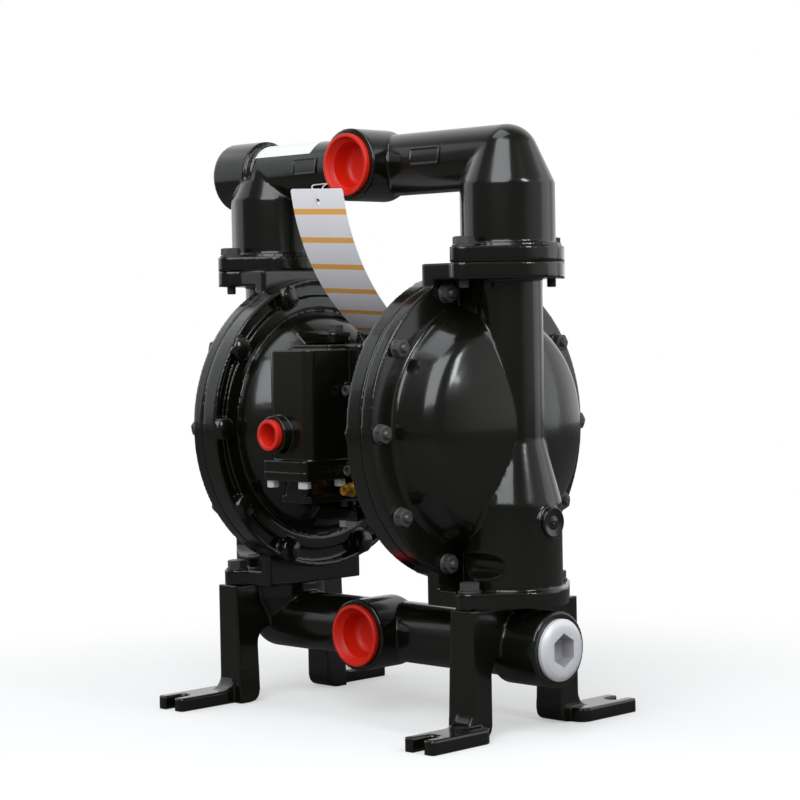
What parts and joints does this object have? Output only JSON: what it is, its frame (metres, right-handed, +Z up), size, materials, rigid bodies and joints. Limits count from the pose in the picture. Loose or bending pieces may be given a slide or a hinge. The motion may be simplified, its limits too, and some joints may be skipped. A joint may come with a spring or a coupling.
{
  "type": "pump",
  "caption": "Air-operated double diaphragm pump with two domed fluid chambers, ball-valve manifolds on legs, a central air motor and a side valve block",
  "frame": {"origin": "Bottom centre between the feet, on the floor, on the axis of symmetry of the two chambers.", "axes": "X along the main shaft towards the chamber whose lower pipe end carries the shouldered plug; Y to the back, away from the ports and the air inlet; Z up."},
  "size_m": [0.4258, 0.2877, 0.5555],
  "materials": {
    "black_enamel": "gloss",
    "black_oxide": "satin",
    "zinc_steel": "satin",
    "bare_aluminium": "satin",
    "yellow_brass": "satin",
    "red_polyethylene": "satin",
    "black_rubber": "matte",
    "white_plastic": "satin",
    "bare_steel": "satin",
    "white_card": "matte"
  },
  "bodies": {
    "root": {"upper_manifold": "black_enamel", "lower_manifold": "black_enamel", "fluid_cap_right": "black_enamel", "fluid_cap_left": "black_enamel", "air_cap_right": "black_enamel", "air_cap_left": "black_enamel", "motor_body": "black_enamel", "valve_block": "black_enamel", "valve_end_cap": "black_enamel", "valve_gasket": "black_rubber", "chamber_studs": "black_oxide", "chamber_nuts": "black_oxide", "outlet_bolts": "black_oxide", "outlet_washers": "black_oxide", "inlet_bolts": "zinc_steel", "inlet_washers": "zinc_steel", "upper_lug_bolts": "black_oxide", "lower_lug_bolts": "zinc_steel", "valve_block_screws": "black_oxide", "end_cap_screws": "zinc_steel", "brass_fitting": "yellow_brass", "end_plug": "bare_aluminium", "blind_plug": "black_oxide", "column_plugs": "black_oxide", "outlet_cap": "red_polyethylene", "inlet_cap": "red_polyethylene", "air_inlet_cap": "red_polyethylene", "outlet_seats": "white_plastic", "outlet_seat_rings": "black_rubber", "inlet_seats": "white_plastic", "inlet_seat_rings": "black_rubber", "diaphragms": "black_rubber", "shaft_bushings": "white_plastic", "shaft_seals": "black_rubber", "pilot_bushings": "white_plastic", "valve_plate": "white_plastic", "hang_tag": "white_card", "tag_tie": "white_card"},
    "outlet_ball_r": {"outlet_ball_right": "black_rubber"},
    "outlet_ball_l": {"outlet_ball_left": "black_rubber"},
    "inlet_ball_r": {"inlet_ball_right": "black_rubber"},
    "inlet_ball_l": {"inlet_ball_left": "black_rubber"},
    "shaft": {"diaphragm_shaft": "bare_steel", "inner_plates": "bare_steel", "outer_plates": "bare_steel", "plate_bolts": "bare_steel"},
    "pilot": {"pilot_rod": "bare_steel"},
    "spool": {"spool": "bare_steel", "spool_cups": "black_rubber", "valve_insert": "white_plastic"}
  },
  "joints": [
    {"name": "shaft_slide", "type": "slide", "parent": "root", "child": "shaft", "axis": [1, 0, 0], "range_m": [-0.022, 0.022], "deforming": ["diaphragms"]},
    {"name": "pilot_slide", "type": "slide", "parent": "root", "child": "pilot", "axis": [1, 0, 0], "range_m": [-0.0025, 0.0025]},
    {"name": "spool_slide", "type": "slide", "parent": "root", "child": "spool", "axis": [0, 0, 1], "range_m": [0, 0.012]},
    {"name": "outlet_ball_r_lift", "type": "slide", "parent": "root", "child": "outlet_ball_r", "axis": [0, 0, 1], "range_m": [0, 0.012]},
    {"name": "outlet_ball_l_lift", "type": "slide", "parent": "root", "child": "outlet_ball_l", "axis": [0, 0, 1], "range_m": [0, 0.012]},
    {"name": "inlet_ball_r_lift", "type": "slide", "parent": "root", "child": "inlet_ball_r", "axis": [0, 0, 1], "range_m": [0, 0.012]},
    {"name": "inlet_ball_l_lift", "type": "slide", "parent": "root", "child": "inlet_ball_l", "axis": [0, 0, 1], "range_m": [0, 0.012]}
  ]
}
